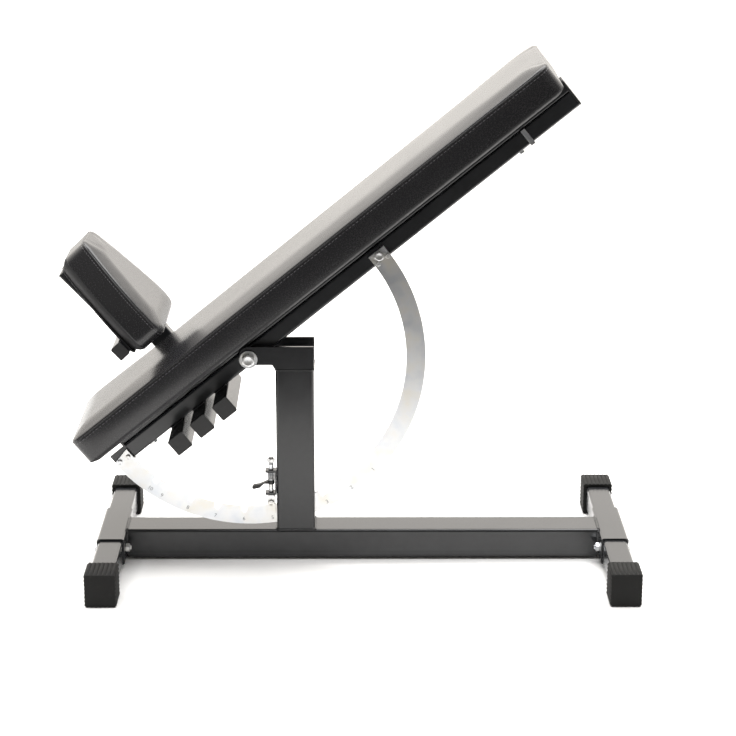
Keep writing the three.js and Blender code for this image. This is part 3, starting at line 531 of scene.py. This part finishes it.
def catch_rod():
    """The rod in its guide: smooth below, threaded under the nut, chamfered at the top."""
    steps = 32
    low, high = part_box("catch_rod")
    radius = (high.x - low.x) / 2
    length = high.z - low.z
    nut_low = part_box("catch_nut")[0].z - low.z
    loops = [circle_loop(radius - 0.4 * MM, steps, 0), circle_loop(radius, steps, 0.4 * MM),
             circle_loop(radius, steps, nut_low - 4 * MM)]
    loops += thread_loops(radius, nut_low - 3.6 * MM, length - 0.6 * MM, steps)
    loops.append(circle_loop(radius - 0.8 * MM, steps, length))
    mesh = loops_mesh("catch_rod_turned", loops)
    mesh.transform(Matrix.Translation(((low.x + high.x) / 2, (low.y + high.y) / 2, low.z)))
    return place_piece("catch_rod_turned", mesh, ZINC, "catch", ["catch_rod"])


def catch_spring():
    """The coil, whose top sits under the bracket's lug, wound at rest in the CAD spring's place."""
    low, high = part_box("catch_spring")
    wire, sides, turns, steps = 0.8 * MM, 10, 5, 160
    middle = (low + high) / 2
    radius = (high.x - low.x) / 2 - wire
    loops = []
    for i in range(steps + 1):
        t = i / steps
        angle = 2 * math.pi * turns * t
        out = Vector((math.cos(angle), math.sin(angle), 0))
        centre = Vector((middle.x, middle.y, low.z + wire + (high.z - low.z - 2 * wire) * t)) + radius * out
        loops.append([centre + wire * (math.cos(a) * out + math.sin(a) * Vector((0, 0, 1)))
                      for a in (2 * math.pi * k / sides for k in range(sides))])
    mesh = loops_mesh("catch_spring_wire", loops)
    mesh.materials.append(ZINC)
    mesh.shade_smooth()
    piece = bpy.data.objects.new("catch_spring_wire", mesh)
    bpy.context.scene.collection.objects.link(piece)
    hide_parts("catch_spring")
    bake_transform(piece)
    return piece


catch_rod()
catch_spring()


# ---------- rubber feet ----------
FOOT_RIB = 7 * MM                # pitch of the ribs round the shoe
FOOT_RIB_HEIGHT = 1.5 * MM


def shoe_outline(half_width, half_height, corner, count, ribbed):
    """Points round a rounded rectangle, dipping between ribs where ribbed."""
    straight = [2 * (half_width - corner), 2 * (half_height - corner)]
    arc = math.pi / 2 * corner
    around = 2 * sum(straight) + 4 * arc
    ribs = round(around / FOOT_RIB)
    corners = [Vector((sx * (half_width - corner), 0, sz * (half_height - corner)))
               for sx, sz in ((1, 1), (-1, 1), (-1, -1), (1, -1))]
    points = []
    for i in range(count):
        distance = around * i / count
        place = distance
        for k in range(4):
            if place <= arc:
                angle = math.pi / 2 * k + place / corner
                normal = Vector((math.cos(angle), 0, math.sin(angle)))
                point = corners[k] + corner * normal
                break
            place -= arc
            side = straight[k % 2]
            if place <= side:
                angle = math.pi / 2 * (k + 1)
                normal = Vector((math.cos(angle), 0, math.sin(angle)))
                point = corners[k] + corner * normal + Vector((-math.sin(angle), 0, math.cos(angle))) * place
                break
            place -= side
        hollow = 1 - abs(math.cos(math.pi * ribs * distance / around)) ** 0.7
        points.append(point - (FOOT_RIB_HEIGHT * hollow if ribbed else 0) * normal)
    return points


def foot(node, inward):
    """A ribbed rubber shoe with smooth ends. inward is the Y direction that its pocket opens in."""
    low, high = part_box(node)
    middle = (low + high) / 2
    half_width, half_height = (high.x - low.x) / 2, (high.z - low.z) / 2
    depth = high.y - low.y
    corner, count = 4 * MM, 480
    leg_low, leg_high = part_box(node.split("_foot_")[0] + "_leg")
    leg_half = (leg_high.x - leg_low.x) / 2 + 0.2 * MM
    leg_middle = (leg_low.z + leg_high.z) / 2 - middle.z
    outside = -inward * depth / 2

    def loop(inset, y, ribbed):
        return [p + Vector((0, outside + inward * y, 0)) for p in
                shoe_outline(half_width - inset, half_height - inset, corner - inset / 2, count, ribbed)]

    rim = 3 * MM
    pocket = shoe_outline(leg_half, leg_half, 1 * MM, count, False)
    deep = [p + Vector((0, outside + inward * 7 * MM, leg_middle)) for p in pocket]
    mouth = [p + Vector((0, outside + inward * depth, leg_middle)) for p in pocket]
    loops = [loop(2.6 * MM, 0, False), loop(1.4 * MM, 0.15 * MM, False), loop(0.9 * MM, 1.2 * MM, False),
             loop(0, 2.2 * MM, True), loop(0, depth / 2, True), loop(0, depth - rim, True),
             loop(0, depth - 1 * MM, True), loop(1 * MM, depth, False), mouth, deep]
    mesh = loops_mesh(node + "_ribbed", loops)
    mesh.transform(Matrix.Translation(middle))
    return place_piece(node + "_ribbed", mesh, RUBBER, "base", [node], sharp=50)


for end in ("seat_end", "head_end"):
    foot(end + "_foot_near", 1)
    foot(end + "_foot_far", -1)


# ---------- welds ----------
WELD_GUIDE = Vector((0.31, 0.22, 0.93))    # no weld runs along this, so it can set every bead's sides
WELD_RIPPLE = 2.6 * MM
WELD_DRIFT = 9 * MM


def weld(name, points, body, radius=2.2 * MM, closed=True):
    """A fillet bead along a path, with the ripples that each dab of the torch leaves."""
    sides, step = 10, 0.8 * MM
    path = []
    ends = points + [points[0]] if closed else points
    for a, b in zip(ends, ends[1:]):
        count = max(1, round((b - a).length / step))
        path += [a.lerp(b, i / count) for i in range(count)]
    if not closed:
        path.append(ends[-1])
    loops, run = [], 0.0
    for i, point in enumerate(path):
        before = path[i - 1] if i or closed else path[i]
        after = path[(i + 1) % len(path)] if i + 1 < len(path) or closed else path[i]
        ahead = (after - before).normalized()
        run += (point - before).length
        ripple = radius * (1 + 0.10 * math.cos(2 * math.pi * run / WELD_RIPPLE)
                           + 0.06 * math.sin(run / WELD_DRIFT))
        side = (WELD_GUIDE - WELD_GUIDE.dot(ahead) * ahead).normalized()
        up = ahead.cross(side)
        loops.append([point + ripple * (math.cos(a) * side + math.sin(a) * up)
                      for a in (2 * math.pi * k / sides for k in range(sides))])
    mesh = loops_mesh(name, loops, ring=closed)
    return place_piece(name, mesh, PAINT, body, sharp=70)


def rectangle(centre, across, up, half_across, half_up, corner=4 * MM):
    """The corner points of a chamfered rectangle about centre, for a weld round a square tube."""
    points = []
    for sx, sy in ((1, 1), (-1, 1), (-1, -1), (1, -1)):
        ends = [(half_across, half_up - corner), (half_across - corner, half_up)]
        if sx * sy < 0:
            ends.reverse()
        points += [centre + across * sx * x + up * sy * y for x, y in ends]
    return points


X, Y, Z = Vector((1, 0, 0)), Vector((0, 1, 0)), Vector((0, 0, 1))


def welds():
    low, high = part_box("upright")
    centre = Vector(((low.x + high.x) / 2, 0, low.z + 0.3 * MM))
    weld("upright_foot_weld", rectangle(centre, X, Y, (high.x - low.x) / 2, (high.y - low.y) / 2), "base")
    centre.z = high.z
    inset = 0.4 * MM
    around = rectangle(centre, X, Y, (high.x - low.x) / 2 - inset, (high.y - low.y) / 2 - inset)
    weld("upright_head_weld", around, "base", 1.5 * MM)
    low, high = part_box("base_beam")
    for name, x in (("seat_end_weld", low.x), ("head_end_weld", high.x)):
        sleeve_low, sleeve_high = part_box(name.replace("weld", "sleeve"))
        top = min(high.z, sleeve_high.z)
        centre = Vector((x, 0, (top + sleeve_low.z) / 2))
        weld(name, rectangle(centre, Y, Z, high.y, (top - sleeve_low.z) / 2, 5 * MM), "base", 2 * MM)
    for i in (1, 2, 3):
        low, high = span(f"receiver_{i}", BACK)
        tube_side = span("back_frame_tube", BACK)[1].y
        for side in (-1, 1):
            y = side * tube_side
            ends = [BACK @ Vector((x, y, high.z)) for x in (low.x + 3 * MM, high.x - 3 * MM)]
            weld(f"receiver_{i}_weld_{'near' if side < 0 else 'far'}", ends, "back", 1.8 * MM, closed=False)
    arm_side = span("seat_arm", BACK)[0].y
    for name, node in (("seat_peg_weld", "seat_peg"), ("seat_tube_weld", "seat_cross_tube")):
        a, b = span(node, BACK)
        centre = Vector(((a.x + b.x) / 2, arm_side, (a.z + b.z) / 2))
        path = rectangle(centre, X, Z, (b.x - a.x) / 2, (b.z - a.z) / 2, 3 * MM)
        weld(name, [BACK @ p for p in path], "seat", 1.4 * MM)


welds()


# ---------- selector numbers ----------
def selector_numbers():
    """Stamped position numbers, one beside each notch, counted from the flat one."""
    low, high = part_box("catch_pin")
    travel = JOINTS["catch_slide"]["range_m"][1]
    pivot = Vector(TILT["pos_m"])
    pin = Vector(((low.x + high.x) / 2, 0, (low.z + high.z) / 2 - travel)) - pivot
    pin_angle = math.atan2(pin.z, pin.x)
    arc_low = span("selector_arc", BACK)[0]
    outer = -arc_low.z
    front = arc_low.y
    step, last_step, count = math.radians(9.8), math.radians(4.6), 8
    size, relief = 9 * MM, 0.12 * MM
    inclines = [i * step for i in range(count + 1)] + [count * step + last_step]
    for i, incline in enumerate(inclines):
        angle = pin_angle + REST_INCLINE - incline
        curve = bpy.data.curves.new(f"position_{i + 1}", "FONT")
        curve.body = str(i + 1)
        curve.size = size
        curve.extrude = relief / 2
        curve.align_x = "CENTER"
        curve.align_y = "CENTER"
        holder = bpy.data.objects.new("holder", curve)
        bpy.context.scene.collection.objects.link(holder)
        graph = bpy.context.evaluated_depsgraph_get()
        mesh = bpy.data.meshes.new_from_object(holder.evaluated_get(graph))
        bpy.data.objects.remove(holder)
        upright = Matrix.Rotation(math.radians(90), 4, "X")
        radius = outer - 8.5 * MM
        spin = Matrix.Rotation(math.pi / 2 + angle, 4, "Z")
        mesh.transform(spin)
        mesh.transform(upright)
        offset = Vector((radius * math.cos(angle), 0, radius * math.sin(angle)))
        mesh.transform(Matrix.Translation(pivot + offset + Vector((0, front - relief / 2, 0))))
        place_piece(f"position_number_{i + 1}", mesh, MARK, "back")


selector_numbers()


# ---------- upholstery ----------
def arc_points(centre, radius, start, end, count, z):
    """Points from angle start to angle end about centre, both included."""
    angles = [start + (end - start) * i / (count - 1) for i in range(count)]
    return [Vector((centre[0] + radius * math.cos(a), centre[1] + radius * math.sin(a), z)) for a in angles]


class Pad:
    """The sizes of one pad in its own frame: X along it, Z up from its underside.

    taper is how much narrower each side gets from the +X end to the -X end, along a curve.
    """

    def __init__(self, name, body, place, size, seam, wrap, corner, crown_reach, taper=0.0):
        self.name, self.body, self.place = name, body, place
        self.length, self.width, self.thickness = size
        self.seam = seam              # height of the seam between top and side
        self.wrap = wrap              # height where the side turns under
        self.corner = corner
        self.crown_reach = crown_reach
        self.taper = taper
        self.slack = 1.2 * MM         # room left for the foam to swell into
        self.wrap_inset = 11 * MM

    def half_width(self, x, inset):
        along = min(max(0.5 - x / self.length, 0), 1)
        return self.width / 2 - self.taper * along ** 1.9 - inset

    def loop(self, inset, z, per_side=24, per_corner=8):
        """The plan's outline drawn in by inset, with the same number of points at any inset."""
        end = self.length / 2 - inset
        corner = max(self.corner - 0.5 * inset, 0.2 * MM)
        tip = end - corner
        tip_slope = (self.half_width(-tip + MM, inset) - self.half_width(-tip, inset)) / MM
        lean = math.atan(tip_slope)
        heel = self.half_width(tip, inset) - corner
        nose = self.half_width(-tip, inset) - corner / math.cos(lean)
        quarter = math.pi / 2
        upper = arc_points((tip, heel), corner, 0, quarter, per_corner + 1, z)
        front = arc_points((-tip, nose), corner, quarter + lean, 2 * quarter, per_corner + 1, z)
        side = []
        for i in range(1, per_side):
            x = upper[-1].x + (front[0].x - upper[-1].x) * i / per_side
            side.append(Vector((x, self.half_width(x, inset), z)))
        half = upper + side + front
        mirror = [Vector((point.x, -point.y, z)) for point in reversed(half)]
        across = [half[-1].lerp(mirror[0], i / per_side) for i in range(1, per_side)]
        back = [mirror[-1].lerp(half[0], i / per_side) for i in range(1, per_side)]
        return half + across + mirror + back

    def profile(self):
        """(inset, height) pairs from the underside, up the side and over the crown."""
        rise = self.thickness - self.seam - 0.5 * MM
        s = self.slack
        under = [(self.wrap_inset + 6 * MM, 1.2 * MM), (self.wrap_inset, 0.8 * MM),
                 (s + 3 * MM, self.wrap - 2.5 * MM), (s + 0.5 * MM, self.wrap), (s, self.wrap + 3 * MM)]
        sides = [(s, self.wrap + (self.seam - self.wrap) * t) for t in (0.35, 0.65, 0.9)]
        top = [(s + 0.3 * MM, self.seam)]
        for t in (0.02, 0.05, 0.1, 0.17, 0.27, 0.4, 0.6, 0.8, 1.0):
            top.append((s + t * self.crown_reach, self.seam + rise * math.sin(t * math.pi / 2) ** 0.42))
        # rings over the flat middle, where the foam is free to swell
        narrow = self.half_width(-self.length / 2 + self.corner, s + self.crown_reach)
        top += [(s + self.crown_reach + t * narrow, self.seam + rise) for t in (0.25, 0.5, 0.75)]
        return under + sides + top


SWELL_FRAMES = 12
SWELL_PRESSURE = 4


def swollen(pad, voxel, cap):
    """The pad's cover over its foam. A cloth simulation of an evenly meshed copy, under pressure and
    held at its seam and underneath, says how far each part of the cover swells, up to cap."""
    mesh = loops_mesh(pad.name, [pad.loop(inset, z, per_side=70) for inset, z in pad.profile()])
    even = modified(mesh.copy(), ("REMESH", {"mode": "VOXEL", "voxel_size": voxel, "use_smooth_shade": True}))
    rest = [vertex.co.copy() for vertex in even.vertices]
    cover = bpy.data.objects.new(pad.name + "_even", even)
    bpy.context.scene.collection.objects.link(cover)
    held = cover.vertex_groups.new(name="held")
    for vertex in even.vertices:
        x, y, z = vertex.co
        edge = min(pad.length / 2 - abs(x), pad.half_width(x, 0) - abs(y))
        if z < pad.wrap or (edge < 7 * MM and abs(z - pad.seam) < 3.5 * MM):
            held.add([vertex.index], 1.0, "REPLACE")
    cloth = cover.modifiers.new("cloth", "CLOTH")
    cloth.settings.quality = 3
    cloth.settings.tension_stiffness = 12
    cloth.settings.compression_stiffness = 12
    cloth.settings.bending_stiffness = 0.6
    cloth.settings.vertex_group_mass = "held"
    cloth.settings.use_pressure = True
    cloth.settings.uniform_pressure_force = SWELL_PRESSURE
    cloth.settings.effector_weights.gravity = 0
    cloth.collision_settings.use_collision = False
    cloth.point_cache.frame_start = 1
    cloth.point_cache.frame_end = SWELL_FRAMES
    for step in range(1, SWELL_FRAMES + 1):
        bpy.context.scene.frame_set(step)
    graph = bpy.context.evaluated_depsgraph_get()
    blown = bpy.data.meshes.new_from_object(cover.evaluated_get(graph))
    tree = KDTree(len(rest))
    for i, point in enumerate(rest):
        tree.insert(point, i)
    tree.balance()
    moves = [vertex.co - start for vertex, start in zip(blown.vertices, rest)]
    bpy.context.scene.frame_set(1)
    bpy.data.objects.remove(cover)
    for vertex in mesh.vertices:
        near = tree.find_n(vertex.co, 6)
        shares = [1 / (distance + 0.5 * MM) for _, _, distance in near]
        move = sum((moves[i] * share for (_, i, _), share in zip(near, shares)), Vector()) / sum(shares)
        vertex.co += move * min(1, cap / max(move.length, 1e-9))
    return mesh


def make_pad(pad, nodes, voxel, cap):
    """The cushion with its seam, stitches and the pleated wrap under its edge."""
    mesh = swollen(pad, voxel, cap)
    tree = BVHTree.FromPolygons([v.co for v in mesh.vertices], [p.vertices for p in mesh.polygons])
    mesh.transform(pad.place)
    cushion = place_piece(pad.name + "_cover", mesh, VINYL, pad.body, nodes, sharp=80)

    def on_cover(point, proud):
        """The nearest place on the cover, standing proud of it."""
        spot, normal, _, _ = tree.find_nearest(point)
        return spot + normal * proud

    # the seam: a folded edge where the top panel is sewn to the side panel
    path = pad.loop(pad.slack, pad.seam, per_side=90, per_corner=14)
    loops = []
    for i, point in enumerate(path):
        spot = on_cover(point, 0.1 * MM)
        ahead = (path[(i + 1) % len(path)] - path[i - 1]).normalized()
        up = Vector((0, 0, 1))
        out = ahead.cross(up).normalized()
        loops.append([spot + 1.1 * MM * math.cos(a) * out + 0.9 * MM * math.sin(a) * up
                      for a in (2 * math.pi * k / 8 for k in range(8))])
    seam = loops_mesh(pad.name + "_seam", loops, ring=True)
    seam.transform(pad.place)
    place_piece(pad.name + "_seam", seam, VINYL, pad.body, sharp=80)

    # a row of lockstitches below the seam
    stitches = bmesh.new()
    length, gap, radius = 3.4 * MM, 1.4 * MM, 0.42 * MM
    drop = 4.5 * MM
    path = pad.loop(pad.slack, pad.seam - drop, per_side=400, per_corner=40)
    run, start = 0.0, None
    for i, point in enumerate(path):
        following = path[(i + 1) % len(path)]
        if start is None:
            start = point
        run += (following - point).length
        if run >= length + gap:
            finish = start.lerp(following, length / (length + gap))
            a, b = on_cover(start, 0.15 * MM), on_cover(finish, 0.15 * MM)
            along = b - a
            place = aligned((a + b) / 2, along)
            bmesh.ops.create_uvsphere(stitches, u_segments=6, v_segments=5, radius=radius,
                                      matrix=place @ Matrix.Diagonal((1, 1, along.length / 2 / radius, 1)))
            run, start = 0.0, None
    row = bpy.data.meshes.new(pad.name + "_stitches")
    stitches.to_mesh(row)
    stitches.free()
    row.transform(pad.place)
    place_piece(pad.name + "_stitches", row, THREAD, pad.body, sharp=80)

    # the cover's edge, pulled under the board and pleated at the corners
    pleats, depth = 5, 1.1 * MM
    per_side, per_corner = 40, 60
    profile = [(1.6 * MM, pad.wrap + 1.5 * MM), (1.4 * MM, pad.wrap - 1 * MM), (4 * MM, 0.55 * pad.wrap),
               (pad.wrap_inset, -0.1 * MM), (pad.wrap_inset + 14 * MM, -0.1 * MM),
               (pad.wrap_inset + 14 * MM, 1.2 * MM), (pad.wrap_inset, 1.6 * MM)]
    strength = (0.15, 0.8, 1.0, 0.9, 0.3, 0, 0)
    shapes = []
    for (inset, z), share in zip(profile, strength):
        points = pad.loop(inset, z, per_side=per_side, per_corner=per_corner)
        stride = per_corner + per_side
        wavy = []
        for i, point in enumerate(points):
            within = i % stride
            if within <= per_corner:
                t = within / per_corner
                fade = math.sin(math.pi * t) ** 0.5
                fold = abs(math.sin(math.pi * pleats * t)) ** 0.6 - 0.6
                outward = Vector((math.copysign(0.7, point.x), math.copysign(0.7, point.y), -0.4))
                point = point + outward * depth * fold * fade * share
            wavy.append(point)
        shapes.append(wavy)
    columns = [[shape[i] for shape in shapes] for i in range(len(shapes[0]))]
    wrap = loops_mesh(pad.name + "_wrap", columns, ring=True)
    wrap.transform(pad.place)
    place_piece(pad.name + "_wrap", wrap, SCUFFED, pad.body, sharp=60)

    # dust cloth over the board's underside
    inset = pad.wrap_inset + 8 * MM
    sheet = loops_mesh(pad.name + "_dust_cloth", [pad.loop(inset, -0.14 * MM), pad.loop(inset, -0.02 * MM)])
    sheet.transform(pad.place)
    place_piece(pad.name + "_dust_cloth", sheet, CLOTH, pad.body)


def pads():
    low, high = span("back_cushion", BACK)
    size = high - low
    place = BACK @ Matrix.Translation(((low.x + high.x) / 2, 0, low.z))
    back = Pad("back_pad", "back", place, (size.x, size.y, size.z), seam=48.3 * MM, wrap=6.4 * MM,
               corner=18 * MM, crown_reach=42 * MM)
    make_pad(back, ["back_cushion"], voxel=6 * MM, cap=1.5 * MM)
    low, high = span("seat_cushion", SEAT)
    size = high - low
    middle = Matrix.Translation((low.x, 0, (low.z + high.z) / 2))
    place = SEAT @ middle @ Matrix.Rotation(math.radians(90), 4, "Y")
    seat = Pad("seat_pad", "seat", place, (size.z, size.y, size.x), seam=54 * MM, wrap=14 * MM,
               corner=22 * MM, crown_reach=34 * MM, taper=56 * MM)
    make_pad(seat, ["seat_cushion"], voxel=6 * MM, cap=1.5 * MM)


pads()


# ---------- studio ----------
def studio():
    reach, paper_edge = 40, -0.85
    # the grey floor in front of the paper is painted shade: a dark sheet standing in for the unlit studio in
    # front, so that the bench's fronts reflect dark
    for name, near, far, light, dark in (("white_paper_sweep", paper_edge, reach, "#FCFCFC", "#FAFAFA"),
                                         ("painted_shade_floor", -reach, paper_edge, "#4C4C4C", "#454545")):
        mesh = bpy.data.meshes.new(name)
        corners = [(-reach, near, 0), (reach, near, 0), (reach, far, 0), (-reach, far, 0)]
        mesh.from_pydata(corners, [], [(0, 1, 2, 3)])
        mesh.materials.append(studio_floor(name, light, dark))
        ground = bpy.data.objects.new(name, mesh)
        bpy.context.scene.collection.objects.link(ground)

    # a softbox overhead, which keeps the paper white
    softbox = bpy.data.lights.new("overhead_softbox", "AREA")
    softbox.shape = "RECTANGLE"
    softbox.size, softbox.size_y = 4, 3
    softbox.energy = 230
    overhead = bpy.data.objects.new("overhead_softbox", softbox)
    overhead.location = (0, 0.3, 3.2)
    bpy.context.scene.collection.objects.link(overhead)

    world = bpy.data.worlds.new("white_studio")
    world.use_nodes = True
    bpy.context.scene.world = world
    links = world.node_tree.links
    nodes = world.node_tree.nodes
    backdrop = nodes["Background"]
    backdrop.inputs["Color"].default_value = linear("#FFFAF3")
    split = nodes.new("ShaderNodeSeparateXYZ")
    links.new(nodes.new("ShaderNodeTexCoord").outputs["Generated"], split.inputs[0])
    fall = nodes.new("ShaderNodeMapRange")
    fall.interpolation_type = "SMOOTHSTEP"
    for socket, value in (("From Min", -0.35), ("From Max", 0.5), ("To Min", 0.3), ("To Max", 2.2)):
        fall.inputs[socket].default_value = value
    links.new(split.outputs["Y"], fall.inputs["Value"])
    links.new(fall.outputs["Result"], backdrop.inputs["Strength"])

    # camera
    lens = bpy.data.cameras.new("camera")
    lens.sensor_width = 36
    lens.lens = 101.7
    lens.clip_end = 100
    camera = bpy.data.objects.new("camera", lens)
    bpy.context.scene.collection.objects.link(camera)
    pitch, yaw, roll = math.radians(17.13), math.radians(0.49), math.radians(0.11)
    camera.matrix_world = (Matrix.Translation((0.0033, -3.2938, 1.3441)) @ Matrix.Rotation(-yaw, 4, "Z")
                           @ Matrix.Rotation(math.pi / 2 - pitch, 4, "X") @ Matrix.Rotation(roll, 4, "Z"))
    bpy.context.scene.camera = camera
    bpy.context.scene.view_settings.view_transform = "Standard"


studio()
